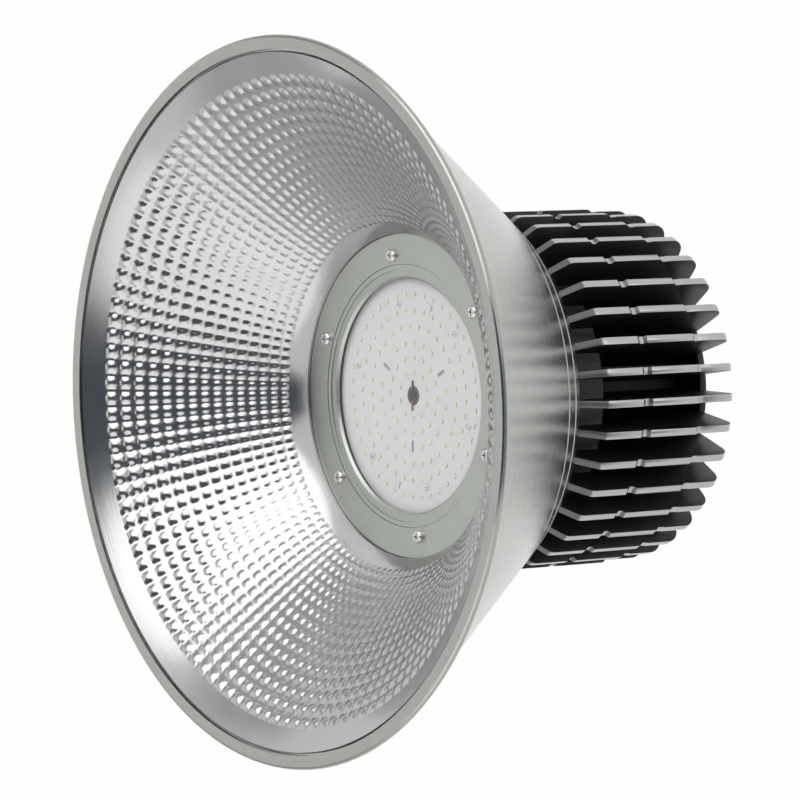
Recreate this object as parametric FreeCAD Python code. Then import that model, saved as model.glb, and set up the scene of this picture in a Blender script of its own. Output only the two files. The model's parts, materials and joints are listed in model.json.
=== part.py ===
"""High bay light: finned cast heat sink, LED head and a two-shell spun reflector.

Millimetres. The axis is Z: the bowl opens towards -Z, and the hanging eye is on +Z.
The origin is the centre of the rim plane, which is what the light rests on.
"""
import FreeCAD, Part
import math
import os
from FreeCAD import Vector

# ---- reflector rim and shells -------------------------------------------------
rim_r = 240.0              # outside of the rolled rim
roll_r = 2.0               # radius of the roll
band_w = 9.5               # width of the flat band on the rim
shade_t = 1.2              # outer shade sheet
liner_t = 1.0              # dimpled liner sheet
liner_lip_w = 3.4          # liner lip that lies behind the rim band
band_gap = 1.5             # gap between the band and the liner wall
cone_z = 4.2               # outer shade: height where the cone leaves the roll
neck_corner_r = 127.8      # radius where the cone's line meets the neck flange's rear face
shoulder_r = 6.0           # rounding between the cone and the neck flange
groove_drops = (9.8, 22.6) # how far in front of that face the cone's two grooves lie
groove_w = 2.4
groove_d = 0.7
neck_hole_gap = 4.9        # between the casting's pedestal and the hole in the neck flange

# ---- dimpled liner wall -------------------------------------------------------
neck_land_w = 13.9         # from the flange screws' circle out to the liner's neck
liner_neck_z = 104.5
rim_lean = (38.0, 22.0)    # how far the wall's curve leans at the rim, in r and z
neck_lean = (8.5, 19.0)    # the same at the neck
dimple_rows = 15
dimple_h = 1.1
first_row = 16.7           # plain wall between the rim and the first row
plain_neck = 12.0          # plain wall between the last row and the neck
row_shrink = 0.972         # each row is this much narrower than the one before
back_bends = 5             # straight stretches that the liner's rear face has

# ---- neck ring, bezel and lens ------------------------------------------------
ring_z = 106.5             # visible face of the neck ring
ring_t = 2.0
ring_land_w = 3.9          # from the lens seat out to the neck ring's inner edge
fit = 0.3                  # running clearance between neighbouring pieces
bezel_lip = 1.8            # bezel rim that the neck ring clamps
bezel_lap = 5.5            # how far the bezel reaches in over the lens
bezel_step = 3.2
lens_lap = 3.7             # how far the lens reaches out past the board
lens_t = 2.0
gasket_t = 1.2
gasket_w = 3.2
flange_screw_inset = 6.3   # from the neck ring's inner edge out to its screws' circle
flange_screw_count = 6
flange_screw_start = 50.0
m4_r = 2.0
m4_head_r = 4.2
m4_head_h = 2.8
m4_len = 9.0

# ---- LED board ----------------------------------------------------------------
board_gap = 0.9            # board face behind the gasket's seat
board_t = 1.6
pad_t = 0.4
led_rings = (67.6, 56.6, 46.2, 35.2, 25.5, 15.2)
led_pitch = 10.0
led_size = (3.0, 2.6, 0.8)
slot_r = 34.0
slot_size = (8.0, 2.4)
slot_count = 3
slot_start = 0.0
board_screw_count = 6
board_screw_start = 45.0
m2_r = 1.25
m2_head_r = 1.9
m2_head_h = 1.2
m2_len = 5.0
connector_size = (7.0, 4.0, 1.2)
connector_angles = (15.0, 195.0)
wire_hole_r = 6.5
grommet_bore_r = 4.4
grommet_len = 5.0
lead_r = 0.7
lead_bend_r = 2.4
lead_reach = 10.0

# ---- collar between liner, shade and heat sink --------------------------------
collar_flange_inset = 1.9  # how much smaller the collar's flange is than the liner's neck
collar_flange_t = 8.0
collar_wall = 5.4
collar_foot_t = 6.5
head_screw_inset = 5.5     # from the base's edge in to the head screws' circle
head_screw_gap = 3.8       # between their heads and the collar's waist
head_screw_count = 6
head_screw_start = 20.0
m5_r = 2.5
m5_head_r = 4.2
m5_head_h = 5.0
m5_len = 18.0
head_edge = 0.18           # chamfer on a screw head, as a share of its radius
cross_span = 1.15          # width over a cross recess, as a share of the head's radius
cross_arm = 0.26           # width of one arm, likewise
cross_depth = 0.5          # depth of a cross recess, as a share of the head's height
hex_span = 0.95            # width over a hexagon recess, as a share of the head's radius
hex_depth = 0.55           # depth of a hexagon recess, as a share of the head's height
thread_gap = 0.1           # between a screw and its tapped hole
hole_gap = 0.4             # between a screw and its clearance hole
overcut = 1.0              # how far a drill runs past the face that it cuts

# ---- heat sink casting --------------------------------------------------------
shade_back_z = 152.2       # rear face of the shade's neck flange, where the casting seats
base_r = 99.0              # the collar, board, lens and neck are stacked inwards from it
base_t = 11.8
skirt_t = 4.0
skirt_z = 194.5
plate_front_t = 7.0        # front plate of the pedestal
column_r = 45.0
core_r = 57.0
core_wall = 5.0
fin_count = 36
fin_r = 120.6
fin_back_z = 294.7
fin_tip_t = 4.8
fin_root_t = 3.2
fin_foot_gap = 1.0         # between the shade and the foot of a fin's sloping front edge
fin_front_z = 182.0        # where the sloping front edge meets the outer edge
fin_round_r = 8.0          # rounding between them
notch_1_z = 215.5
notch_2_z = 262.5
notch_w = 8.0
notch_d = 2.0
lobe_drop = 1.6            # how much lower the fin is behind its second notch
lobe_corner_r = 10.0
sunk = 1.0                 # how far a fin's root runs into the casting that carries it
back_plate_r = 84.0
back_plate_t = 5.0
back_plate_z = 296.5

# ---- rear cover, driver and hanging eye ---------------------------------------
seal_t = 1.0
cover_rim_t = 3.5
cover_top_r = 50.0
cover_top_t = 6.0
cover_slope_w = 4.0        # width of the slope between the cover's rim and its raised middle
cover_recess_t = 2.0       # depth of the recess under the raised middle
cover_screw_gap = 1.8      # between that slope and the screws' heads
cover_edge_w = 6.0         # from the screws' circle out to the cover's edge
cover_screw_count = 6
cover_screw_start = 15.0
driver_r = 49.0
driver_h = 96.0
driver_pad_t = 1.0
driver_edge = 2.0
eye_r = 17.0
eye_bore_r = 10.0
eye_t = 10.0
eye_neck_h = 8.0
eye_edge = 1.5
shank_past_nut = 2.0
shank_r = 5.0
washer_r = 11.0
washer_t = 2.0
nut_af = 16.0
nut_h = 8.0
gland_offset = 33.0
gland_angle = 180.0
gland_af = 17.0
gland_base_h = 5.0
gland_stem_r = 6.0
gland_nut_h = 11.0
gland_hex_h = 6.6          # hexagon of the nut, below its dome
gland_bore_r = 3.6
gland_wall = 1.6
gland_tail = 4.0           # how far the gland's stem reaches below the cover's recess

# ---- radii worked out from the rim and the base ---------------------------------
band_in_r = rim_r - band_w
cone_foot_r = rim_r - 2 * roll_r - shade_t
collar_foot_r = base_r
head_screw_r = base_r - head_screw_inset
collar_waist_r = head_screw_r - m5_head_r - head_screw_gap
collar_bore_r = collar_waist_r - collar_wall
board_r = collar_bore_r - fit
lens_r = board_r + lens_lap
lens_seat_r = lens_r + fit
bezel_open_r = lens_r - bezel_lap
ring_in_r = lens_seat_r + ring_land_w
flange_screw_pcd_r = ring_in_r + flange_screw_inset
liner_neck_r = flange_screw_pcd_r + neck_land_w
collar_flange_r = liner_neck_r - collar_flange_inset
neck_hole_r = board_r + neck_hole_gap
chamber_r = core_r - core_wall
board_screw_r = (led_rings[0] + led_rings[1]) / 2
cover_screw_r = cover_top_r + cover_slope_w + m4_head_r + cover_screw_gap
cover_r = cover_screw_r + cover_edge_w

# ---- levels worked out from the stack -----------------------------------------
ring_back_z = ring_z + ring_t
collar_z = ring_back_z + liner_t
lens_back_z = collar_z + lens_t
gasket_back_z = lens_back_z + gasket_t
board_z = gasket_back_z + board_gap
board_back_z = board_z + board_t
pedestal_z = board_back_z + pad_t
shade_flange_z = shade_back_z - shade_t
base_back_z = shade_back_z + base_t
fin_foot_z = shade_back_z + fin_foot_gap
cover_z = back_plate_z + seal_t
cover_top_z = cover_z + cover_top_t
recess_z = cover_z + cover_recess_t
washer_top_z = cover_top_z + washer_t
eye_z = washer_top_z + eye_neck_h + eye_bore_r


def save(name, shape):
    """Write one named piece."""
    shape.exportStep("parts/" + name + ".step")


def polar(radius, degrees, z=0.0):
    """A point at a radius and an angle about the axis."""
    angle = math.radians(degrees)
    return Vector(radius * math.cos(angle), radius * math.sin(angle), z)


def angles(count, start):
    """Evenly spaced angles round the axis."""
    return [start + 360.0 * i / count for i in range(count)]


def spin(points):
    """Turn a closed (radius, height) outline about the axis."""
    corners = [Vector(r, 0, z) for r, z in points]
    face = Part.Face(Part.makePolygon(corners + corners[:1]))
    return face.revolve(Vector(0, 0, 0), Vector(0, 0, 1), 360)


def rod(radius, low, high, at=Vector(0, 0, 0)):
    """A plain cylinder along Z between two heights."""
    return Part.makeCylinder(radius, high - low, Vector(at.x, at.y, low))


def tube(outer, inner, low, high):
    """A plain ring between two heights."""
    return rod(outer, low, high).cut(rod(inner, low, high))


def hexagon(across_flats, low, high, at=Vector(0, 0, 0)):
    """A hexagonal prism along Z."""
    radius = across_flats / math.sqrt(3)
    corners = [at + polar(radius, a, low - at.z) for a in angles(6, 0)]
    face = Part.Face(Part.makePolygon(corners + corners[:1]))
    return face.extrude(Vector(0, 0, high - low))


def block(size, at, degrees):
    """A box centred on a point in plan, standing on its height, turned about Z."""
    length, width, height = size
    box = Part.makeBox(length, width, height, Vector(-length / 2, -width / 2, 0))
    box.rotate(Vector(0, 0, 0), Vector(0, 0, 1), degrees)
    box.translate(at)
    return box


def drilled(shape, radius, low, high, places):
    """Cut one round hole at each place."""
    return shape.cut([rod(radius, low, high, p) for p in places])


def offset_path(path, distance):
    """Shift an open (r, z) path sideways to its left, with mitred corners."""
    def normal(p, q):
        dr, dz = q[0] - p[0], q[1] - p[1]
        size = math.hypot(dr, dz)
        return -dz / size, dr / size

    normals = [normal(p, q) for p, q in zip(path, path[1:])]
    shifted = []
    for i, (r, z) in enumerate(path):
        before = normals[max(i - 1, 0)]
        after = normals[min(i, len(normals) - 1)]
        mid = (before[0] + after[0], before[1] + after[1])
        scale = distance / (mid[0] * after[0] + mid[1] * after[1])
        shifted.append((r + mid[0] * scale, z + mid[1] * scale))
    return shifted


def sheet(path, thickness):
    """A spun sheet: one face follows the path, the other lies to its left."""
    return spin(path + offset_path(path, thickness)[::-1])


def rounded(before, corner, after, radius, steps=4):
    """Points of the arc that rounds off one corner of an (r, z) path."""
    corner = Vector(corner[0], corner[1], 0)
    along = (corner - Vector(before[0], before[1], 0)).normalize()
    onward = (Vector(after[0], after[1], 0) - corner).normalize()
    turn = along.getAngle(onward)
    start = corner - along * (radius * math.tan(turn / 2))
    inward = (onward - along * along.dot(onward)).normalize()
    arc = []
    for i in range(steps + 1):
        angle = turn * i / steps
        arc.append(start + along * (radius * math.sin(angle)) + inward * (radius * (1 - math.cos(angle))))
    return [(p.x, p.y) for p in arc]


def screw(head_r, head_h, shank_r, length, socket, at, up=1):
    """A screw whose head stands against +up, with its seat at the given point."""
    head = Part.makeCylinder(head_r, head_h, Vector(0, 0, -head_h))
    head = head.makeChamfer(head_edge * head_r, [head.Edges[2]])
    body = head.fuse(Part.makeCylinder(shank_r, length))
    body = body.cut(socket)
    if up < 0:
        body.rotate(Vector(0, 0, 0), Vector(1, 0, 0), 180)
    body.translate(at)
    return body.removeSplitter()


def cross_socket(head_r, head_h):
    """A cross recess at the outer face of a screw head."""
    arm = (cross_span * head_r, cross_arm * head_r, head_h)
    low = Vector(0, 0, (cross_depth - 2) * head_h)
    return block(arm, low, 0).fuse(block(arm, low, 90))


def hex_socket(head_r, head_h):
    """A hexagon recess at the outer face of a screw head."""
    return hexagon(hex_span * head_r, -head_h - overcut, (hex_depth - 1) * head_h)


# ---- reflector ----------------------------------------------------------------
def wall_point(t):
    """A point of the liner's bell-shaped wall, from the rim (0) to the neck (1)."""
    start = (band_in_r - band_gap, shade_t)
    end = (liner_neck_r, liner_neck_z)
    lean_1 = (start[0] - rim_lean[0], start[1] + rim_lean[1])
    lean_2 = (end[0] + neck_lean[0], end[1] - neck_lean[1])
    weights = ((1 - t) ** 3, 3 * t * (1 - t) ** 2, 3 * t * t * (1 - t), t ** 3)
    knots = (start, lean_1, lean_2, end)
    return tuple(sum(w * k[i] for w, k in zip(weights, knots)) for i in (0, 1))


def wall_run(steps=400):
    """Points along the wall, each with its distance from the rim end."""
    run = [(0.0,) + wall_point(0)]
    for i in range(1, steps + 1):
        r, z = wall_point(i / steps)
        run.append((run[-1][0] + math.hypot(r - run[-1][1], z - run[-1][2]), r, z))
    return run


WALL = wall_run()


def wall_at(distance):
    """The wall's point at a distance along it from the rim end."""
    for low, high in zip(WALL, WALL[1:]):
        if distance <= high[0]:
            break
    share = (distance - low[0]) / (high[0] - low[0])
    return low[1] + share * (high[1] - low[1]), low[2] + share * (high[2] - low[2])


def row_edges():
    """Distances along the wall between which the dimple rows lie."""
    widths = [row_shrink ** i for i in range(dimple_rows)]
    scale = (WALL[-1][0] - plain_neck - first_row) / sum(widths)
    edges = [first_row]
    for width in widths:
        edges.append(edges[-1] + width * scale)
    return edges


def crest(low_edge, high_edge):
    """The crown of one dimple row, raised off the wall into the bowl."""
    low = wall_at(low_edge)
    high = wall_at(high_edge)
    middle = wall_at((low_edge + high_edge) / 2)
    dr, dz = high[0] - low[0], high[1] - low[1]
    size = math.hypot(dr, dz)
    return middle[0] - dimple_h * dz / size, middle[1] + dimple_h * dr / size


def reflector():
    """Polished liner: lip behind the rim band, dimple rows, neck and neck flange."""
    lip = (band_in_r + liner_lip_w, shade_t)
    edges = row_edges()
    wall = [wall_at(0), wall_at(first_row / 2)]
    for low, high in zip(edges, edges[1:]):
        wall += [wall_at(low), crest(low, high)]
    wall += [wall_at(edges[-1]), (liner_neck_r, liner_neck_z)]
    neck = [(liner_neck_r, ring_back_z), (ring_in_r + bezel_lip + fit, ring_back_z)]
    back = [wall_point(i / back_bends) for i in range(back_bends + 1)]
    front_path = [lip] + wall + neck
    back_path = offset_path([lip] + back + neck, -liner_t)
    body = spin(front_path + back_path[::-1])
    places = [polar(flange_screw_pcd_r, a) for a in angles(flange_screw_count, flange_screw_start)]
    return drilled(body, m4_r + hole_gap, ring_back_z - overcut, collar_z + overcut, places)


def cone_r(z):
    """Outside radius of the shade's cone at a height."""
    share = (z - cone_z) / (shade_back_z - cone_z)
    return cone_foot_r + share * (neck_corner_r - cone_foot_r)


def groove(z):
    """A shallow groove rolled into the cone, as (r, z) points from the neck side."""
    edges = (z + groove_w / 2, z - groove_w / 2)
    return [(cone_r(edges[0]), edges[0]), (cone_r(z) - groove_d, z), (cone_r(edges[1]), edges[1])]


def roll():
    """The rim's roll, from the foot of the cone round to the flat band."""
    centre = rim_r - roll_r
    turns = [math.radians(a) for a in (90, 45, 0, -45, -90)]
    return [(centre + roll_r * math.cos(a), roll_r + roll_r * math.sin(a)) for a in turns]


def outer_shade():
    """Satin spun cone: neck flange, rounded shoulder, two grooves, cone, roll and rim band."""
    hole = (neck_hole_r, shade_back_z)
    foot = (cone_foot_r, cone_z)
    path = [hole] + rounded(hole, (neck_corner_r, shade_back_z), foot, shoulder_r)
    for drop in groove_drops:
        path += groove(shade_back_z - drop)
    body = sheet(path + [foot] + roll() + [(band_in_r, 0)], -shade_t)
    places = [polar(head_screw_r, a) for a in angles(head_screw_count, head_screw_start)]
    return drilled(body, m5_r + hole_gap, shade_flange_z - overcut, shade_back_z + overcut, places)


# ---- neck and lens ------------------------------------------------------------
def flange_ring():
    """Flat ring that clamps the liner and the bezel to the collar."""
    body = tube(liner_neck_r - fit, ring_in_r, ring_z, ring_back_z)
    places = [polar(flange_screw_pcd_r, a) for a in angles(flange_screw_count, flange_screw_start)]
    return drilled(body, m4_r + hole_gap, ring_z, ring_back_z, places)


def flange_screws():
    """Six cross-head screws through the ring and the liner into the collar."""
    socket = cross_socket(m4_head_r, m4_head_h)
    return Part.makeCompound([
        screw(m4_head_r, m4_head_h, m4_r, m4_len, socket, polar(flange_screw_pcd_r, a, ring_z))
        for a in angles(flange_screw_count, flange_screw_start)])


def lens_bezel():
    """Stepped ring in front of the lens, held by the neck ring's inner edge."""
    outer = ring_in_r - fit
    rim = ring_in_r + bezel_lip
    return spin([
        (bezel_open_r, collar_z), (rim, collar_z), (rim, ring_back_z), (outer, ring_back_z),
        (outer, ring_z + fit), (outer - bezel_step, ring_z + fit),
        (outer - bezel_step, ring_z + ring_t / 2),
        (bezel_open_r + bezel_step / 2, ring_z + ring_t / 2),
        (bezel_open_r, ring_back_z + liner_t / 2)])


def lens():
    """Clear flat cover over the LED board."""
    return rod(lens_r, collar_z, lens_back_z)


def lens_gasket():
    """Seal between the lens and its shoulder in the collar."""
    return tube(lens_r, lens_r - gasket_w, lens_back_z, gasket_back_z)


def reflector_collar():
    """Cast collar that carries the liner, bezel and lens, and clamps the shade."""
    foot_z = shade_flange_z - collar_foot_t
    body = spin([
        (lens_seat_r, collar_z), (collar_flange_r, collar_z),
        (collar_flange_r, collar_z + collar_flange_t), (collar_waist_r, collar_z + collar_flange_t),
        (collar_waist_r, foot_z), (collar_foot_r, foot_z), (collar_foot_r, shade_flange_z),
        (collar_bore_r, shade_flange_z), (collar_bore_r, gasket_back_z),
        (lens_seat_r, gasket_back_z)])
    tapped = [polar(flange_screw_pcd_r, a) for a in angles(flange_screw_count, flange_screw_start)]
    body = drilled(body, m4_r + thread_gap, collar_z, collar_z + collar_flange_t, tapped)
    through = [polar(head_screw_r, a) for a in angles(head_screw_count, head_screw_start)]
    return drilled(body, m5_r + hole_gap, foot_z, shade_flange_z, through)


def head_screws():
    """Socket screws that hold the collar and the shade to the heat sink."""
    socket = hex_socket(m5_head_r, m5_head_h)
    seat_z = shade_flange_z - collar_foot_t
    return Part.makeCompound([
        screw(m5_head_r, m5_head_h, m5_r, m5_len, socket, polar(head_screw_r, a, seat_z))
        for a in angles(head_screw_count, head_screw_start)])


# ---- LED board ----------------------------------------------------------------
def board_screw_places(z=0.0):
    """Where the board screws stand."""
    return [polar(board_screw_r, a, z) for a in angles(board_screw_count, board_screw_start)]


def slot_places(z=0.0):
    """Where the board's oblong slots are."""
    return [(polar(slot_r, a, z), a) for a in angles(slot_count, slot_start)]


def led_board():
    """White round board with a wire hole, three oblong slots and screw holes."""
    body = tube(board_r, wire_hole_r, board_z, board_back_z)
    slots = [block(slot_size + (board_t,), p, a) for p, a in slot_places(board_z)]
    body = body.cut(slots)
    return drilled(body, m2_r + hole_gap, board_z, board_back_z, board_screw_places())


def led_packages():
    """Rings of LED packages, left out where a slot breaks the ring."""
    keep_out = slot_size[0] / 2 + led_size[0]
    packages = []
    for radius in led_rings:
        count = round(2 * math.pi * radius / led_pitch)
        for a in angles(count, 0):
            place = polar(radius, a, board_z - led_size[2])
            near = min(place.sub(Vector(p.x, p.y, place.z)).Length for p, _ in slot_places())
            if near > keep_out:
                packages.append(block(led_size, place, a + 90))
    return Part.makeCompound(packages)


def board_connectors():
    """Two low wire connectors on the board."""
    return Part.makeCompound([
        block(connector_size, polar(board_screw_r, a, board_z - connector_size[2]), a + 90)
        for a in connector_angles])


def board_screws():
    """Small screws that hold the board to the pedestal."""
    socket = cross_socket(m2_head_r, m2_head_h)
    return Part.makeCompound([
        screw(m2_head_r, m2_head_h, m2_r, m2_len, socket, p) for p in board_screw_places(board_z)])


def thermal_pad():
    """Thin pad between the board and the pedestal."""
    body = tube(board_r - 1, wire_hole_r, board_back_z, pedestal_z)
    return drilled(body, m2_r + hole_gap, board_back_z, pedestal_z, board_screw_places())


def lead_grommet():
    """Bush that lines the wire hole."""
    return tube(wire_hole_r - fit / 3, grommet_bore_r, board_z, board_z + grommet_len)


def lead(side):
    """One lead: down through the casting, out of the bush and flat along the board."""
    x = side * (grommet_bore_r - 2 * lead_r - fit)
    out = side * lead_bend_r
    run_z = board_z - lead_r - fit / 3
    top = Vector(x, 0, base_back_z + driver_pad_t)
    bend_start = Vector(x, 0, run_z + lead_bend_r)
    half = lead_bend_r * math.sin(math.radians(45))
    bend_mid = Vector(x + out - side * half, 0, run_z + lead_bend_r - half)
    bend_end = Vector(x + out, 0, run_z)
    end = Vector(side * lead_reach, 0, run_z)
    path = Part.Wire([
        Part.LineSegment(top, bend_start).toShape(),
        Part.Arc(bend_start, bend_mid, bend_end).toShape(),
        Part.LineSegment(bend_end, end).toShape()])
    circle = Part.Wire(Part.makeCircle(lead_r, top, Vector(0, 0, -1)))
    return path.makePipeShell([circle], True, True)


# ---- heat sink ----------------------------------------------------------------
def notch(z):
    """A ramped notch in a fin's outer edge, as (r, z) points."""
    return [(fin_r, z - notch_w / 2), (fin_r - notch_d, z - notch_w / 8),
            (fin_r - notch_d, z + notch_w / 4), (fin_r, z + notch_w / 2)]


def straight(points):
    """Straight edges through (r, z) points, in the XZ plane."""
    corners = [Vector(r, 0, z) for r, z in points]
    return [Part.LineSegment(p, q).toShape() for p, q in zip(corners, corners[1:])]


def fin_face():
    """Side outline of one fin, in the XZ plane."""
    root_r = core_r - core_wall / 2
    lobe_r = fin_r - lobe_drop
    start = (root_r, base_back_z - sunk)
    foot = (base_r - sunk, fin_foot_z)
    front = rounded(foot, (fin_r, fin_front_z), (fin_r, notch_1_z), fin_round_r)
    edge = front + notch(notch_1_z) + notch(notch_2_z)[:3]
    edge += [(lobe_r, notch_2_z + notch_w / 2)]
    lobe = rounded(edge[-1], (lobe_r, fin_back_z), (back_plate_r, fin_back_z), lobe_corner_r, 8)
    shoulder = back_plate_r - sunk
    inner_z = back_plate_z - back_plate_t / 2
    rear = [(shoulder, fin_back_z), (shoulder, inner_z), (root_r, inner_z)]
    outline = [start, (foot[0], start[1]), foot] + edge + lobe + rear + [start]
    return Part.Face(Part.Wire(straight(outline)))


def fin():
    """One fin: its side outline, thicker towards the outer edge."""
    slab = fin_face().extrude(Vector(0, 2 * fin_tip_t, 0))
    slab.translate(Vector(0, -fin_tip_t, 0))
    root_r = core_r - core_wall
    plan = [Vector(root_r, -fin_root_t / 2, 0), Vector(fin_r, -fin_tip_t / 2, 0),
            Vector(fin_r + sunk, -fin_tip_t / 2, 0), Vector(fin_r + sunk, fin_tip_t / 2, 0),
            Vector(fin_r, fin_tip_t / 2, 0), Vector(root_r, fin_root_t / 2, 0)]
    wedge = Part.Face(Part.makePolygon(plan + plan[:1])).extrude(Vector(0, 0, 2 * fin_back_z))
    return slab.common(wedge)


def heat_sink():
    """One casting: pedestal, base, skirt, core, 36 fins and the rear plate."""
    body = spin([
        (wire_hole_r, pedestal_z), (board_r, pedestal_z), (board_r, pedestal_z + plate_front_t),
        (column_r, pedestal_z + plate_front_t), (column_r, shade_flange_z - collar_foot_t),
        (board_r, shade_flange_z), (board_r, shade_back_z), (base_r, shade_back_z),
        (base_r, skirt_z), (base_r - skirt_t, skirt_z), (base_r - skirt_t, base_back_z),
        (core_r, base_back_z), (core_r, back_plate_z - back_plate_t),
        (back_plate_r, back_plate_z - back_plate_t), (back_plate_r, back_plate_z),
        (chamber_r, back_plate_z), (chamber_r, base_back_z), (wire_hole_r, base_back_z)])
    one = fin()
    fins = []
    for a in angles(fin_count, 0):
        copy = one.copy()
        copy.rotate(Vector(0, 0, 0), Vector(0, 0, 1), a)
        fins.append(copy)
    body = body.fuse(fins)
    body = drilled(body, m2_r + thread_gap, pedestal_z, pedestal_z + m2_len, board_screw_places())
    foot_holes = [polar(head_screw_r, a) for a in angles(head_screw_count, head_screw_start)]
    body = drilled(body, m5_r + thread_gap, shade_back_z, shade_back_z + m5_len, foot_holes)
    cover_holes = [polar(cover_screw_r, a) for a in angles(cover_screw_count, cover_screw_start)]
    return drilled(body, m4_r + thread_gap, back_plate_z - m4_len, back_plate_z, cover_holes)


# ---- rear of the light --------------------------------------------------------
def driver_module():
    """Potted round driver that stands on its pad in the casting's chamber."""
    low = base_back_z + driver_pad_t
    body = rod(driver_r, low, low + driver_h)
    return body.makeChamfer(driver_edge, [body.Edges[0], body.Edges[2]])


def driver_pad():
    """Pad under the driver, open in the middle for the leads."""
    return tube(driver_r, wire_hole_r, base_back_z, base_back_z + driver_pad_t)


def gland_place(z=0.0):
    """Centre of the cable gland."""
    return polar(gland_offset, gland_angle, z)


def rear_cover():
    """Cast cover over the driver chamber, with a raised middle."""
    body = spin([
        (0, recess_z), (cover_top_r - cover_slope_w - cover_recess_t, recess_z),
        (cover_top_r - cover_slope_w, cover_z), (cover_r, cover_z), (cover_r, cover_z + cover_rim_t),
        (cover_top_r + cover_slope_w, cover_z + cover_rim_t), (cover_top_r, cover_top_z),
        (0, cover_top_z)])
    places = [polar(cover_screw_r, a) for a in angles(cover_screw_count, cover_screw_start)]
    body = drilled(body, m4_r + hole_gap, cover_z, cover_z + cover_rim_t, places)
    body = drilled(body, shank_r + thread_gap, cover_z, cover_top_z, [Vector(0, 0, 0)])
    return drilled(body, gland_stem_r + thread_gap, cover_z, cover_top_z, [gland_place()])


def cover_gasket():
    """Flat seal under the rear cover."""
    body = tube(cover_r, chamber_r, back_plate_z, cover_z)
    places = [polar(cover_screw_r, a) for a in angles(cover_screw_count, cover_screw_start)]
    return drilled(body, m4_r + hole_gap, back_plate_z, cover_z, places)


def cover_screws():
    """Screws that hold the rear cover to the casting."""
    socket = cross_socket(m4_head_r, m4_head_h)
    seat_z = cover_z + cover_rim_t
    return Part.makeCompound([
        screw(m4_head_r, m4_head_h, m4_r, m4_len, socket, polar(cover_screw_r, a, seat_z), -1)
        for a in angles(cover_screw_count, cover_screw_start)])


def eye_bolt():
    """Forged eye bolt: flat eye with a round bore, collar and shank."""
    eye = Part.makeCylinder(eye_r, eye_t, Vector(0, -eye_t / 2, eye_z), Vector(0, 1, 0))
    eye = eye.makeChamfer(eye_edge, [eye.Edges[0], eye.Edges[2]])
    neck = Part.makeCone(washer_r - eye_edge, eye_t / 2, eye_neck_h, Vector(0, 0, washer_top_z))
    shank = rod(shank_r, recess_z - nut_h - shank_past_nut, washer_top_z)
    bore = Part.makeCylinder(eye_bore_r, 2 * eye_t, Vector(0, -eye_t, eye_z), Vector(0, 1, 0))
    return eye.fuse([neck, shank]).cut(bore).removeSplitter()


def eye_washer():
    """Washer between the eye bolt's collar and the cover."""
    return tube(washer_r, shank_r + hole_gap, cover_top_z, washer_top_z)


def lock_nut():
    """Nut that holds the eye bolt from inside the cover."""
    low = recess_z - nut_h
    return hexagon(nut_af, low, recess_z).cut(rod(shank_r + thread_gap, low, recess_z))


def gland_body():
    """Gland body: hexagon, stem through the cover and the stem that the nut grips."""
    hexagon_z = cover_top_z + gland_base_h
    at = gland_place()
    body = hexagon(gland_af, cover_top_z, hexagon_z, at)
    body = body.fuse(rod(gland_stem_r, recess_z - gland_tail, hexagon_z + gland_nut_h / 2, at))
    return body.cut(rod(gland_bore_r + gland_wall / 2, recess_z - gland_tail, hexagon_z + gland_nut_h, at))


def gland_nut():
    """Domed nut over the gland's stem, open at its middle."""
    low = cover_top_z + gland_base_h
    high = low + gland_nut_h
    at = gland_place()
    dome_z = low + gland_hex_h
    body = hexagon(gland_af, low, dome_z, at)
    dome = Part.makeCone(gland_af / 2, gland_bore_r + gland_wall, high - dome_z, Vector(at.x, at.y, dome_z))
    body = body.fuse(dome)
    body = body.cut(rod(gland_stem_r + thread_gap, low, dome_z, at))
    return body.cut(rod(gland_bore_r, low, high, at))


def gland_seal():
    """Rubber ring on top of the stem, with the cable's bore."""
    low = cover_top_z + gland_base_h + gland_nut_h / 2
    high = cover_top_z + gland_base_h + gland_hex_h
    at = gland_place()
    return rod(gland_stem_r, low, high, at).cut(rod(gland_bore_r, low, high, at))


PIECES = {
    "reflector": reflector, "outer_shade": outer_shade, "flange_ring": flange_ring,
    "flange_screws": flange_screws, "lens_bezel": lens_bezel, "lens": lens,
    "lens_gasket": lens_gasket, "reflector_collar": reflector_collar, "head_screws": head_screws,
    "led_board": led_board, "led_packages": led_packages, "board_connectors": board_connectors,
    "board_screws": board_screws, "thermal_pad": thermal_pad, "lead_grommet": lead_grommet,
    "red_lead": lambda: lead(1), "black_lead": lambda: lead(-1), "heat_sink": heat_sink,
    "driver_pad": driver_pad, "driver_module": driver_module, "rear_cover": rear_cover,
    "cover_gasket": cover_gasket, "cover_screws": cover_screws, "eye_bolt": eye_bolt,
    "eye_washer": eye_washer, "lock_nut": lock_nut, "gland_body": gland_body,
    "gland_nut": gland_nut, "gland_seal": gland_seal,
}

os.makedirs("parts", exist_ok=True)
for piece_name, make in PIECES.items():
    piece = make()
    save(piece_name, piece)
    print(piece_name, len(piece.Solids), "solids", round(piece.Volume / 1000, 1), "cm3")
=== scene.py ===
# %% [markdown]
# # High bay light
# A high bay light hangs from the roof of a hall and throws its light straight down. A polished
# dimpled liner shapes the beam, a plain satin shade covers it, and a black finned casting
# carries the heat of the LED board away. The object's axis is Z and its bowl opens towards -Z.
# Everything is in metres, in the frame of the CAD model that is loaded here. Where a size is
# easier to read in millimetres, MM turns it into metres.

# %% Load the frame
import json
import math

import bpy
import numpy as np
from mathutils import Matrix, Vector

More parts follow.
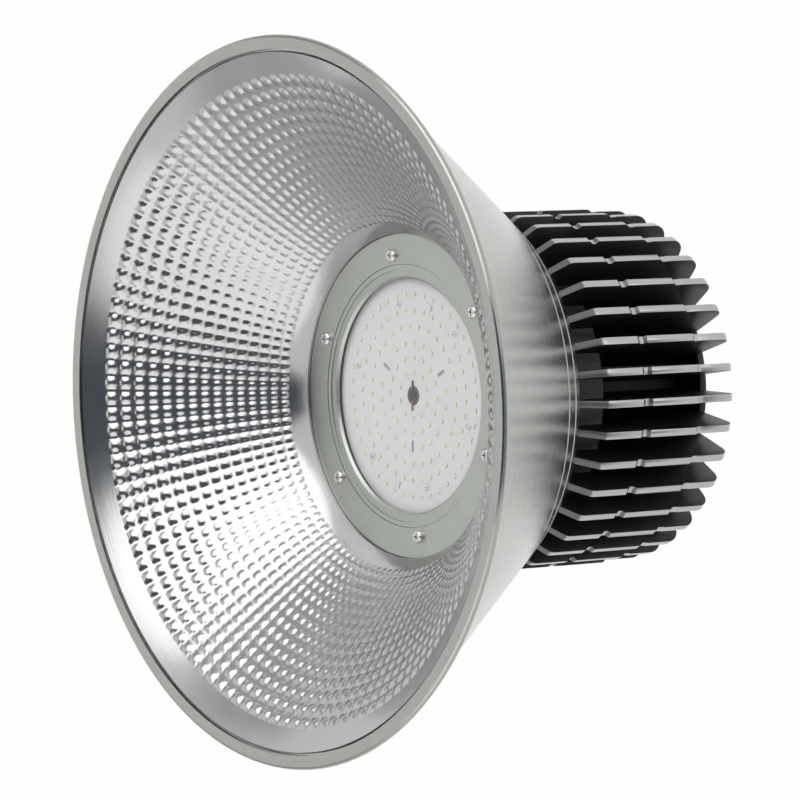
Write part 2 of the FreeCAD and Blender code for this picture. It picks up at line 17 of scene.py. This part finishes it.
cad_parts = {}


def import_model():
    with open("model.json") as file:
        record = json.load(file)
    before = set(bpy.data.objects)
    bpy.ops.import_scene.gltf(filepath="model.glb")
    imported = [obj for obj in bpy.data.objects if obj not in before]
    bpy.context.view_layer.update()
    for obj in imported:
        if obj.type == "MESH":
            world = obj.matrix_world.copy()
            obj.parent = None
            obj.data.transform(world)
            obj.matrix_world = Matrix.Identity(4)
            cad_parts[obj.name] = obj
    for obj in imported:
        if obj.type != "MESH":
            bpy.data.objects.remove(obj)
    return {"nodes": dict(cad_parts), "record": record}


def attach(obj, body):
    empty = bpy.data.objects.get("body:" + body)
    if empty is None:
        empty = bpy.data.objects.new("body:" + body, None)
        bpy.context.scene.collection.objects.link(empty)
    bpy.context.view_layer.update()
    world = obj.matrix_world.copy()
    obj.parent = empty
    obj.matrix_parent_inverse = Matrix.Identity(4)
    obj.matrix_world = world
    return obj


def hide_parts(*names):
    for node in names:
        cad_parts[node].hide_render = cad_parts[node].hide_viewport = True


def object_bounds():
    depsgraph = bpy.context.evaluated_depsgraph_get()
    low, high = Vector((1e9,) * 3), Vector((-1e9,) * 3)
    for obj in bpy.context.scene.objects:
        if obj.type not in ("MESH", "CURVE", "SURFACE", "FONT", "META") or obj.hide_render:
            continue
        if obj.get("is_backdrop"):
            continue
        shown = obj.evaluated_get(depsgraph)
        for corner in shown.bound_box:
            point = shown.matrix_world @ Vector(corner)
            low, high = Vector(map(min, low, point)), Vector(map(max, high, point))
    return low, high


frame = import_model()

cad_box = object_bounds()
MM = 0.001
nodes = frame["nodes"]
print("CAD pieces:", len(nodes), "box:", [round(v, 4) for v in cad_box[1]])

# %% [markdown]
# ## Shader maths as plain expressions
# A finish needs a lot of small sums: a mask here, one minus a mask there. Written node by node
# they are hard to read, so one small class wraps a socket, and + - * / on it add Math nodes.
# Every other node comes from one method that takes the node's type, its settings and its inputs.

# %% A wrapped socket
class Value:
    """What a socket gives at each point of a surface; arithmetic on it adds Math nodes."""

    def __init__(self, maker, socket):
        self.maker = maker
        self.socket = socket

    def math(self, operation, *others):
        """A Math node on this value and any others."""
        return self.maker.math(operation, self, *others)

    def __add__(self, other):
        return self.math("ADD", other)

    def __radd__(self, other):
        return self.maker.math("ADD", other, self)

    def __sub__(self, other):
        return self.math("SUBTRACT", other)

    def __rsub__(self, other):
        return self.maker.math("SUBTRACT", other, self)

    def __mul__(self, other):
        return self.math("MULTIPLY", other)

    def __rmul__(self, other):
        return self.maker.math("MULTIPLY", other, self)

    def __truediv__(self, other):
        return self.math("DIVIDE", other)

    def __rtruediv__(self, other):
        return self.maker.math("DIVIDE", other, self)

    def clamp(self):
        """The value held between 0 and 1."""
        return self.math("MINIMUM", 1.0).math("MAXIMUM", 0.0)

    def step(self, low, high):
        """0 below low, 1 above high, and a smooth climb between."""
        settings = {"interpolation_type": "SMOOTHSTEP"}
        return self.maker.node("ShaderNodeMapRange", settings,
                               {"Value": self, "From Min": low, "From Max": high})


print("sums on sockets are ready")

# %% A node maker
class Maker:
    """Makes the nodes of one tree."""

    def __init__(self, tree):
        self.tree = tree
        tree.nodes.clear()

    def fill(self, socket, value):
        """Link a Value to a socket, or set a plain number or colour on it."""
        if isinstance(value, Value):
            self.tree.links.new(value.socket, socket)
        else:
            socket.default_value = value

    def node(self, kind, settings=None, inputs=None, out=0):
        """Make a node: its settings first, then its sockets. Gives its output, if it has any."""
        made = self.tree.nodes.new(kind)
        for key, value in (settings or {}).items():
            setattr(made, key, value)
        for key, value in (inputs or {}).items():
            self.fill(made.inputs[key], value)
        return Value(self, made.outputs[out]) if made.outputs else made

    def math(self, operation, *operands):
        """A Math node on values and numbers, in their order."""
        return self.node("ShaderNodeMath", {"operation": operation}, dict(enumerate(operands)))

    def vector(self, x, y, z):
        """A vector from its three parts."""
        return self.node("ShaderNodeCombineXYZ", inputs={0: x, 1: y, 2: z})

    def parts(self, vector):
        """The x, y and z of a vector."""
        return [self.node("ShaderNodeSeparateXYZ", inputs={0: vector}, out=i) for i in range(3)]

    def point(self):
        """Where a point of the surface lies, in metres."""
        return self.node("ShaderNodeTexCoord", out="Object")

    def normal(self):
        """The way the surface faces there."""
        return self.node("ShaderNodeNewGeometry", out="Normal")

    def ray(self, kind):
        """1 for rays of a kind, such as Camera, Shadow or Glossy, and 0 for others."""
        return self.node("ShaderNodeLightPath", out="Is %s Ray" % kind)

    def noise(self, vector, scale, detail=2.0, roughness=0.5):
        """Soft noise from 0 to 1."""
        return self.node("ShaderNodeTexNoise", {"noise_dimensions": "3D"},
                         {"Vector": vector, "Scale": scale, "Detail": detail,
                          "Roughness": roughness})

    def mix(self, factor, first, second):
        """A colour between two colours."""
        return self.node("ShaderNodeMix", {"data_type": "RGBA"},
                         {0: factor, 6: first, 7: second}, out=2)


print("the node maker is ready")

# %% A material and its shader
class Finish(Maker):
    """A material: its one Principled shader and the nodes that feed it."""

    def __init__(self, name, **constants):
        self.material = bpy.data.materials.new(name)
        self.material.use_nodes = True
        super().__init__(self.material.node_tree)
        self.shader = self.node("ShaderNodeBsdfPrincipled")
        self.output = self.node("ShaderNodeOutputMaterial", inputs={"Surface": self.shader})
        self.feed(**constants)

    def feed(self, **inputs):
        """Set or link the shader's sockets, with _ for each space in a socket's name."""
        for key, value in inputs.items():
            self.fill(self.shader.socket.node.inputs[key.replace("_", " ")], value)

    def bump(self, height, relief):
        """Relief of a height in metres, fed to the shader's normal."""
        self.feed(Normal=self.node("ShaderNodeBump", inputs={
            "Height": height, "Distance": relief, "Strength": 1.0}))

    def clear_where(self, share, tint=(1, 1, 1, 1)):
        """Let rays straight through where the share is 1, and show the shader where it is 0."""
        clear = self.node("ShaderNodeBsdfTransparent", inputs={0: tint})
        blend = self.node("ShaderNodeMixShader", inputs={0: share, 1: self.shader, 2: clear})
        self.fill(self.output.inputs["Surface"], blend)


def grey(level, olive=0.0):
    """A neutral colour, or one with a little olive in it."""
    return (level * (1 - olive / 2), level * (1 + olive / 2), level * (1 - olive), 1.0)


materials = {}
print("a mid grey:", grey(0.5), "and its olive:", grey(0.5, 0.04))

# %% [markdown]
# ## Spun and polished aluminium
# Spun sheet keeps faint rings from the roller that pressed it on its former. They could be drawn
# as waves, but real rings are uneven. So noise is read at (radius, height) and stretched out
# along the way round, which makes rings that follow the sheet wherever it curves. They change
# the roughness and tip the normal a little; the colour hardly varies.

# %% Rings round the axis
FORMER_RINGS, TURNED_RINGS, BROAD_RINGS = 900.0, 1400.0, 160.0    # how many to a metre
STRETCH = 6.0               # how fast they change along the way round, per radian


def round_lines(finish, fine):
    """Noise drawn out into rings round the axis."""
    x, y, z = finish.parts(finish.point())
    radius = (x * x + y * y).math("SQRT")
    angle = y.math("ARCTAN2", x)
    return finish.noise(finish.vector(radius * fine, z * fine, angle * STRETCH),
                        scale=1.0, detail=3.0, roughness=0.6)


print("rings in a 10 mm strip, about:", round(FORMER_RINGS * 10 * MM))

# %% Polished, satin and plain sheet
POLISH_RELIEF, SATIN_RELIEF, GRAIN_RELIEF = 0.03 * MM, 0.06 * MM, 0.03 * MM


def polished_sheet():
    """Bright dimpled liner: close to a mirror, with soft haze."""
    finish = Finish("polished_aluminium", Metallic=1.0)
    rings = round_lines(finish, FORMER_RINGS)
    haze = finish.noise(finish.point(), scale=30.0, detail=3.0)
    finish.feed(Base_Color=finish.mix(haze, grey(0.43), grey(0.50)),
                Roughness=0.13 + rings * 0.05 + haze * 0.04)
    finish.bump(rings, POLISH_RELIEF)
    return finish.material


def satin_sheet():
    """Outer shade: satin, with clear turning rings."""
    finish = Finish("satin_aluminium", Metallic=1.0)
    rings = round_lines(finish, TURNED_RINGS)
    broad = round_lines(finish, BROAD_RINGS)
    finish.feed(Base_Color=finish.mix(broad, grey(0.35, 0.035), grey(0.41, 0.035)),
                Roughness=0.10 + rings * 0.06 + broad * 0.05)
    finish.bump(rings, SATIN_RELIEF)
    return finish.material


def plain_sheet():
    """Neck ring and bezel: fine matt metal."""
    finish = Finish("plain_aluminium", Metallic=1.0)
    grain = finish.noise(finish.point(), scale=1800.0, detail=3.0)
    cloud = finish.noise(finish.point(), scale=60.0)
    finish.feed(Base_Color=finish.mix(cloud, grey(0.41, 0.045), grey(0.46, 0.045)),
                Roughness=0.30 + grain * 0.10)
    finish.bump(grain, GRAIN_RELIEF)
    return finish.material


materials["polished_aluminium"] = polished_sheet()
materials["satin_aluminium"] = satin_sheet()
materials["plain_aluminium"] = plain_sheet()
print("sheet finishes:", ", ".join(materials))

# %% [markdown]
# ## Black casting with bare machined edges
# The casting is coated black, and then the outer edges of the fins are turned on a lathe, which
# leaves them bare. Two materials on chosen faces would do it, but a bevelled edge has no face of
# its own to choose. So one material works out where the lathe cut: a face is bare where it looks
# outwards and lies far from the axis. Where the bare metal faces down at a fin's end, a darker
# copy of its colour is painted on: that is painted shade, not a change in the metal.

# %% Casting finish
LOOKS_OUT = (0.45, 0.62)                    # how squarely a face looks outwards, from 0 to 1
CUT_FROM = (99.5 * MM, 100.5 * MM)          # how far from the axis the lathe began to cut
# Bare metal that looks down gets painted shade: a darker copy of the metal colour.
SHADE_DOWN = (0.2, 0.5)                     # how squarely a face looks down, from 0 to 1
STREAK_ROUND, STREAK_UP = 400.0, 12000.0    # how fine the tool marks are, per metre
CASTING_RELIEF = 0.05 * MM


def casting():
    """Satin black with bare fin edges."""
    finish = Finish("black_casting", Specular_IOR_Level=0.35)
    x, y, z = finish.parts(finish.point())
    nx, ny, nz = finish.parts(finish.normal())
    radius = (x * x + y * y).math("SQRT")
    outward = (x * nx + y * ny) / radius
    bare = outward.step(*LOOKS_OUT) * radius.step(*CUT_FROM)
    # Painted shade: how squarely a face looks down, which darkens the bare metal there.
    painted_shade_down = (0 - nz).step(*SHADE_DOWN)
    grain = finish.noise(finish.point(), scale=900.0, detail=3.0)
    streak = finish.noise(finish.vector(x * STREAK_ROUND, y * STREAK_ROUND, z * STREAK_UP), 1.0)
    coat = finish.mix(grain, grey(0.006), grey(0.012))
    # The bare metal's colour, and a darker copy of it as painted shade where the face looks
    # down.
    metal = finish.mix(painted_shade_down, finish.mix(streak, grey(0.34), grey(0.54)),
                       finish.mix(streak, grey(0.10), grey(0.18)))
    finish.feed(Base_Color=finish.mix(bare, coat, metal), Metallic=bare,
                Roughness=(0.34 + grain * 0.14) * (1 - bare) + (0.14 + streak * 0.12) * bare)
    finish.bump(grain * (1 - bare * 0.7) + streak * bare * 0.5, CASTING_RELIEF)
    return finish.material


materials["black_casting"] = casting()
print("fins are bare from %.1f mm outwards" % (CUT_FROM[1] / MM))

# %% [markdown]
# ## Clear cover
# The cover over the LED board is clear plastic. Light that bends through a clear solid reaches
# what is behind it only by luck in a path tracer, which leaves the board dark and noisy. So the
# cover bends what is seen through it as the plastic does, and shadow rays go straight through.

# %% Clear cover finish
def clear_cover():
    """Clear plastic that lets light reach the board."""
    finish = Finish("clear_cover", Base_Color=(1, 1, 1, 1), Roughness=0.03, IOR=1.49,
                    Transmission_Weight=1.0)
    finish.clear_where(finish.ray("Shadow"), tint=(0.96, 0.97, 0.97, 1))
    return finish.material


materials["clear_cover"] = clear_cover()
print("finishes so far:", len(materials))

# %% [markdown]
# ## Zinc plate, rubber, nylon, wire and board
# The small pieces get their own finishes. Most are one colour with a fine grain, so one function
# makes them from a dark and a pale shade, a roughness and the size of the grain. Then each CAD
# piece takes the finish that its record names.

# %% Small-part finishes
def grained(name, dark, pale, rough, metal=0.0, scale=1500.0):
    """A finish with fine grain between two shades."""
    finish = Finish(name, Metallic=metal)
    grain = finish.noise(finish.point(), scale, detail=3.0)
    finish.feed(Base_Color=finish.mix(grain, dark, pale), Roughness=rough + grain * 0.12)
    finish.bump(grain, GRAIN_RELIEF)
    return finish.material


SMALL_PARTS = {
    "zinc_steel": dict(dark=grey(0.55), pale=grey(0.72), rough=0.20, metal=1.0, scale=2500.0),
    "seal_rubber": dict(dark=grey(0.025), pale=grey(0.045), rough=0.65),
    "white_board": dict(dark=grey(0.64, -0.01), pale=grey(0.70, -0.01), rough=0.42, scale=700.0),
    "led_resin": dict(dark=(0.68, 0.67, 0.50, 1), pale=(0.74, 0.73, 0.57, 1), rough=0.25),
    "white_nylon": dict(dark=grey(0.62), pale=grey(0.70), rough=0.45),
    "grey_pad": dict(dark=grey(0.30), pale=grey(0.36), rough=0.75),
    "red_insulation": dict(dark=(0.24, 0.035, 0.015, 1), pale=(0.34, 0.06, 0.03, 1), rough=0.40),
    "black_insulation": dict(dark=grey(0.015), pale=grey(0.03), rough=0.40),
    "driver_case": dict(dark=grey(0.05), pale=grey(0.08), rough=0.55),
    "black_nylon": dict(dark=grey(0.018), pale=grey(0.032), rough=0.48),
}
for name, looks in SMALL_PARTS.items():
    materials[name] = grained(name, **looks)
print("small-part finishes:", ", ".join(SMALL_PARTS))

# %% Put the finishes on the CAD pieces
slot_of = {row["node"]: row["material_slot"] for row in frame["record"]["subparts"]}
for name, piece in nodes.items():
    piece.data.materials.clear()
    piece.data.materials.append(materials[slot_of[name]])
print("pieces with a finish:", len(slot_of))

# %% [markdown]
# ## The dimpled liner
# The liner is one sheet, pressed with fifteen rows of small pillows. Every row has as many
# pillows as the next, so they lie on straight radial lines and get narrower towards the neck.
# They could be modelled once and copied round, or pressed in with a displacement texture. The
# first leaves seams where copies meet, and the second needs a far finer mesh. Here one grid of
# vertices goes round and up the wall, and each vertex knows its place in its own pillow, so the
# rows stay exact and the mesh stays light. First comes the wall itself, a bell curve.

# %% Sizes of the liner, in millimetres
LIP_OUT, LIP_Z = 233.9, 1.2                # the flat lip: its edge and the height of its face
GROOVE_R, GROOVE_D = 229.0, 2.4            # the rolled groove inside it: its radius and depth
NECK_R, NECK_Z = 107.9, 104.5              # where the wall ends, at the neck
NECK_TOP, FLANGE_IN = 108.5, 89.8          # the flange that turns in over the neck
RIM_LEAN, NECK_LEAN = (38.0, 22.0), (8.5, 19.0)    # how the bell leaves the rim and the neck
SHEET = 1.0                                # thickness
ROWS, AROUND = 15, 123                     # pillows up the wall and round it
FIRST_ROW, PLAIN_NECK = 16.7, 12.0         # plain wall below and above the rows
ROW_SHRINK = 0.972                         # each row's length against the row below
print("pillows:", ROWS * AROUND)

# %% Curve of the wall
def wall_curve(steps=600):
    """Distance, radius and height along the liner's wall, from rim to neck."""
    t = np.linspace(0, 1, steps + 1)[:, None]
    knots = np.array([(GROOVE_R, LIP_Z), (GROOVE_R - RIM_LEAN[0], LIP_Z + RIM_LEAN[1]),
                      (NECK_R + NECK_LEAN[0], NECK_Z - NECK_LEAN[1]), (NECK_R, NECK_Z)])
    weights = np.hstack([(1 - t) ** 3, 3 * t * (1 - t) ** 2, 3 * t * t * (1 - t), t ** 3])
    points = weights @ knots
    lengths = np.linalg.norm(np.diff(points, axis=0), axis=1)
    return np.concatenate([[0], np.cumsum(lengths)]), points


distance, wall = wall_curve()
slope = np.gradient(wall, distance, axis=0)
WALL_LENGTH = distance[-1]


def wall_at(s):
    """Point on the wall and its normal into the bowl, at a distance from the rim end."""
    point = np.array([np.interp(s, distance, wall[:, i]) for i in (0, 1)])
    along = np.array([np.interp(s, distance, slope[:, i]) for i in (0, 1)])
    along /= np.linalg.norm(along)
    return point, np.array([-along[1], along[0]])


def row_edges():
    """Distances between which the rows of pillows lie."""
    widths = ROW_SHRINK ** np.arange(ROWS)
    widths *= (WALL_LENGTH - PLAIN_NECK - FIRST_ROW) / widths.sum()
    return FIRST_ROW + np.concatenate([[0], np.cumsum(widths)])


edges = row_edges()
print("wall length %.1f mm, first row %.1f mm, last row %.1f mm"
      % (WALL_LENGTH, edges[1] - edges[0], edges[-1] - edges[-2]))

# %% [markdown]
# A pillow swells out of the wall and falls back to it before its cell ends, which leaves a flat
# lane between neighbours. Its height is a parabola each way, so its top is a smooth dome: a
# flatter top would mirror one patch of the room, and a dome draws in the whole room, small.

# %% One pillow
PILLOW_H = 1.5          # height at the rim, in millimetres
FADE = 1.4              # pillows get lower towards the neck, as the radius to this power
LANE = 0.16             # the flat lane's share of a cell
LINES = 6               # lines of vertices across a pillow
CELL = tuple(np.linspace(LANE / 2, 1 - LANE / 2, LINES))


def pillow(u, v):
    """Height from 0 to 1 of a pillow, at a place in its cell."""
    x = np.clip((2 * u - 1) / (1 - LANE), -1, 1)
    y = np.clip((2 * v - 1) / (1 - LANE), -1, 1)
    return (1 - x * x) * (1 - y * y)


print("heights across a pillow:", [round(float(pillow(u, 0.5)), 2) for u in CELL])

# %% [markdown]
# The sheet is a closed outline turned round the axis. Each ring of the outline has a radius and
# a height, and on the pillows also the push that a full pillow gives it and its place in the
# cell. The outline runs over the lip and groove, up the bowl's side, round the flange at the
# neck, and back down behind at a sheet's thickness, where nothing is pressed.

# %% Rings of the liner's outline
GROOVE_FACE = ((1.9, 0.0), (1.7, GROOVE_D), (0.6, GROOVE_D))    # out from its radius, and deep
GROOVE_BACK = ((2.4, GROOVE_D), (3.2, 0.0))
PLAIN_STEPS = (0.3, 0.6, 0.97)             # rings in the plain wall below the first row
EDGE_GAP = 0.5                             # a ring this near an edge holds the curve
NECK_ROUND = 0.6                           # rounding below the flange
BACK_START, BACK_RINGS = 6.0, 9            # the plain back of the wall


def outline():
    """Radius, height, push and place in the cell of every ring."""
    rings = []

    def ring(point, push=(0.0, 0.0), place=0.0):
        rings.append((*point, *push, place))

    ring((LIP_OUT, LIP_Z))
    for out, deep in GROOVE_FACE:
        ring((GROOVE_R + out, LIP_Z + deep))
    for s in (EDGE_GAP, *(FIRST_ROW * share for share in PLAIN_STEPS), edges[0]):
        ring(wall_at(s)[0])
    for low, high in zip(edges, edges[1:]):
        for place in CELL:
            point, normal = wall_at(low + place * (high - low))
            ring(point, normal * PILLOW_H * (point[0] / GROOVE_R) ** FADE, place)
    for s in (edges[-1], edges[-1] + EDGE_GAP, edges[-1] + PLAIN_NECK / 2, WALL_LENGTH):
        ring(wall_at(s)[0])
    ring((NECK_R, NECK_TOP - NECK_ROUND))
    ring((NECK_R, NECK_TOP))
    ring((FLANGE_IN, NECK_TOP))
    ring((FLANGE_IN, NECK_TOP + SHEET))
    ring((NECK_R + SHEET, NECK_TOP + SHEET))
    for s in np.linspace(WALL_LENGTH, BACK_START, BACK_RINGS):
        point, normal = wall_at(s)
        ring(point - normal * SHEET)
    for out, deep in GROOVE_BACK:
        ring((GROOVE_R + out, LIP_Z + deep + SHEET))
    ring((LIP_OUT, LIP_Z + SHEET))
    return np.array(rings)


rings = outline()
print("rings in the outline:", len(rings))

# %% Turn the outline into a mesh
SHARP = 20.0            # corners sharper than this stay crisp, in degrees


def turned(name, radius, height, angle):
    """A closed mesh from rings of points, joined in a loop both ways."""
    points = np.stack([radius * np.cos(angle), radius * np.sin(angle), height], axis=2) * MM
    rows, count = radius.shape
    i, j = np.meshgrid(np.arange(rows), np.arange(count), indexing="ij")
    i2, j2 = (i + 1) % rows, (j + 1) % count
    quads = np.stack([i * count + j, i * count + j2, i2 * count + j2, i2 * count + j], axis=2)
    mesh = bpy.data.meshes.new(name)
    mesh.from_pydata(points.reshape(-1, 3).tolist(), [], quads.reshape(-1, 4).tolist())
    mesh.validate()
    piece = bpy.data.objects.new(name, mesh)
    bpy.context.collection.objects.link(piece)
    return piece


def sharpen(piece, degrees):
    """Smooth a piece, and keep its corners crisp."""
    bpy.context.view_layer.objects.active = piece
    piece.select_set(True)
    bpy.ops.object.shade_smooth_by_angle(angle=math.radians(degrees))
    piece.select_set(False)


def liner():
    """The dimpled liner as one closed sheet."""
    cells = np.tile(CELL, AROUND)
    angle = (np.repeat(np.arange(AROUND), LINES) + cells) * 2 * math.pi / AROUND
    radius, height, push_out, push_up, place = (column[:, None] for column in rings.T)
    raised = pillow(cells[None, :], place)
    piece = turned("dimpled_liner", radius + raised * push_out, height + raised * push_up,
                   angle[None, :])
    sharpen(piece, SHARP)
    piece.data.materials.append(materials["polished_aluminium"])
    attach(piece, "root")
    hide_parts("reflector")
    return piece


liner_piece = liner()
print("liner:", len(liner_piece.data.polygons), "faces")

# %% [markdown]
# ## Crisp edges on the casting
# Real castings and turned edges catch light on a narrow bevel. The CAD mesh stays as it is:
# a Weld and a Bevel modifier round its sharp edges for the render only.

# %% Bevels on the casting
BEVEL_W, BEVEL_STEPS, BEVEL_FROM = 0.9 * MM, 2, 30.0    # width, segments, degrees
WELD_GAP = 0.002 * MM                                   # points nearer than this are one


def bevel(name):
    """Round a CAD piece's sharp edges with modifiers."""
    piece = nodes[name]
    piece.modifiers.new("weld", "WELD").merge_threshold = WELD_GAP
    rounding = piece.modifiers.new("bevel", "BEVEL")
    rounding.width = BEVEL_W
    rounding.segments = BEVEL_STEPS
    rounding.limit_method = "ANGLE"
    rounding.angle_limit = math.radians(BEVEL_FROM)
    return piece


casting_piece = bevel("heat_sink")
print("bevelled:", casting_piece.name)

# %% [markdown]
# ## Floor and white surroundings
# The light hangs, and the view is from below, so a floor would hide it. The floor is pale from
# above and clear from underneath. It is also clear to mirrored rays, which would show it as a
# flat grey in the bowl, and to shadow rays, so that it keeps no light from what is above it.
# The world is white where the eye sees it, straight, through the clear cover or in metal. What
# it gives as light is a little dimmer, so that pale pieces keep their shade.

# %% Floor
FLOOR_R, FLOOR_Z = 6.0, -1.5 * MM          # wide, and just under the rim


def floor():
    """A pale floor under the rim, clear when seen from below."""
    bpy.ops.mesh.primitive_circle_add(vertices=96, radius=FLOOR_R, fill_type="NGON",
                                      location=(0, 0, FLOOR_Z))
    piece = bpy.context.active_object
    piece.name = "floor"
    finish = Finish("pale_floor", Base_Color=(0.82, 0.82, 0.81, 1), Roughness=0.7)
    underneath = finish.node("ShaderNodeNewGeometry", out="Backfacing")
    finish.clear_where((underneath + finish.ray("Shadow") + finish.ray("Glossy")).clamp())
    piece.data.materials.append(finish.material)
    piece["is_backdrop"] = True
    return piece


floor_piece = floor()
print("floor at", round(floor_piece.location.z, 4))

# %% World
PAPER = (0.995, 0.995, 0.985, 1)           # what is seen behind the light
ROOM = (0.78, 0.78, 0.79, 1)               # what lights it


def world():
    """White to the camera, through the clear cover and in metal; a soft room as light."""
    sky = bpy.data.worlds.new("studio")
    bpy.context.scene.world = sky
    sky.use_nodes = True
    maker = Maker(sky.node_tree)
    white = (maker.ray("Camera") + maker.ray("Transmission") + maker.ray("Glossy")).clamp()
    room = maker.node("ShaderNodeBackground", inputs={0: ROOM, 1: 1.0})
    paper = maker.node("ShaderNodeBackground", inputs={0: PAPER, 1: 1.0})
    blend = maker.node("ShaderNodeMixShader", inputs={0: white, 1: room, 2: paper})
    maker.node("ShaderNodeOutputWorld", inputs={"Surface": blend})
    return sky


studio = world()
print("world:", studio.name)

# %% [markdown]
# ## Camera
# A lamp like this is shown from below, where the bowl, the cover and the fins behind it are all
# in view. The camera stands about three and a half metres away with a long lens, because a near
# camera with a short lens would swell the rim against the neck. It is rolled, so that the light
# lies on its side in the frame.

# %% Camera
LOOK_FROM = Vector((-0.3068, -2.8408, -2.0613))
LOOK_ALONG = Vector((0.0863, 0.7927, 0.6035))
LOOK_UP = Vector((-0.9962, 0.0754, 0.0434))
LENS_MM, FAR_END = 243.0, 50.0
forward = LOOK_ALONG.normalized()
right = forward.cross(LOOK_UP).normalized()
up = right.cross(forward)


def stand(piece, across, upward, facing, where):
    """Put a piece at a point, with its own x, y and z along three directions."""
    turn = Matrix((across, upward, facing)).transposed().to_4x4()
    piece.matrix_world = Matrix.Translation(where) @ turn


def camera():
    """A long lens below the bowl."""
    data = bpy.data.cameras.new("camera")
    data.lens = LENS_MM
    data.clip_end = FAR_END
    piece = bpy.data.objects.new("camera", data)
    bpy.context.collection.objects.link(piece)
    stand(piece, right, up, -forward, LOOK_FROM)
    bpy.context.scene.camera = piece
    return piece


view_from = camera()
print("camera", [round(c, 3) for c in view_from.location])

# %% [markdown]
# ## Softboxes and cards
# Polished metal has no look of its own: it shows what stands round it. In an all-white room it
# goes as flat as paper, so a studio puts big soft lamps and grey cards round it, and they draw
# the shape. A gradient painted into the metal would look the same in one view and wrong in all
# others, so real lamps and cards stand in the room here. Each is placed by the way to it from
# the light: so much right, up and back, as seen from the camera. The lamps are round, for a
# soft edge in the metal. The cards show only to mirrored rays: they take no light from the
# object, and fade out at their edges, so that they leave no hard line on the satin shade.

# %% Aim at the light
CENTRE = Vector((0, 0, 0.05))


def aimed(piece, away, metres):
    """Stand a flat piece in the room, facing the light; away is right, up and back."""
    out = (right * away[0] + up * away[1] - forward * away[2]).normalized()
    across = up.cross(out).normalized()
    stand(piece, across, out.cross(across), out, CENTRE + out * metres)


print("lamps and cards face", [round(c, 3) for c in CENTRE])

# %% Softboxes
def softbox(name, away, metres, size, glow):
    """A round lamp aimed at the light; glow is how bright its face is, where 1 is white."""
    data = bpy.data.lights.new(name, "AREA")
    data.shape = "ELLIPSE"
    data.size, data.size_y = size
    face = math.pi / 4 * size[0] * size[1]
    data.energy = glow * math.pi * face
    lamp = bpy.data.objects.new(name, data)
    bpy.context.collection.objects.link(lamp)
    aimed(lamp, away, metres)
    return lamp


lamps = [
    softbox("key", (-0.55, 0.60, 0.58), 1.5, (1.75, 1.6), glow=1.3),
    softbox("low", (-0.50, -0.70, 0.50), 1.5, (1.55, 1.4), glow=0.55),
    softbox("side", (0.85, 0.30, 0.45), 1.9, (0.7, 1.4), glow=0.8),
]
print("lamps, in watts:", {lamp.name: round(lamp.data.energy, 1) for lamp in lamps})

# %% Cards
FADE_ACROSS, FADE_UP = 0.40, 0.22          # how far in from its edges a card fades, in metres
WEAVE, WEAVE_PALE = 40.0, 1.15             # its weave: how fine, and how much paler


def card(name, away, metres, size, shade):
    """A card that shows only in polished metal and glass."""
    bpy.ops.mesh.primitive_plane_add(size=1.0)
    piece = bpy.context.active_object
    piece.name = name
    piece.scale = (size[0], size[1], 1.0)
    bpy.ops.object.transform_apply(location=False, rotation=False, scale=True)
    aimed(piece, away, metres)
    finish = Finish(name, Roughness=0.9)
    x, y, _ = finish.parts(finish.point())
    weave = finish.noise(finish.point(), WEAVE)
    pale = tuple(part * WEAVE_PALE for part in shade)
    finish.feed(Base_Color=finish.mix(weave, (*shade, 1), (*pale, 1)))
    inside = ((size[0] / 2 - x.math("ABSOLUTE")).step(0.0, FADE_ACROSS)
              * (size[1] / 2 - y.math("ABSOLUTE")).step(0.0, FADE_UP))
    finish.clear_where(1 - finish.ray("Glossy") * inside)
    piece.data.materials.append(finish.material)
    piece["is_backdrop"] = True
    return piece


cards = [
    card("dark_card", (-0.55, -0.06, 0.83), 1.6, (3.3, 1.05), (0.07, 0.085, 0.11)),
    card("grey_card", (0.71, -0.12, 0.69), 1.65, (2.4, 1.3), (0.36, 0.37, 0.39)),
    card("low_card", (-0.62, -0.66, -0.42), 1.7, (1.7, 1.7), (0.63, 0.64, 0.63)),
    card("high_card", (-0.70, 0.70, -0.14), 1.7, (1.3, 1.4), (0.58, 0.59, 0.58)),
]
print("cards:", ", ".join(piece.name for piece in cards))

# %% [markdown]
# ## Closing
# The Standard view shows each colour as it is written. The box of the CAD model and of the
# dressed model are printed side by side.

# %% Print the sizes
bpy.context.scene.view_settings.view_transform = "Standard"
dressed_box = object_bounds()
for title, box in (("CAD box:", cad_box), ("dressed box:", dressed_box)):
    print(title, [[round(v, 4) for v in corner] for corner in box])
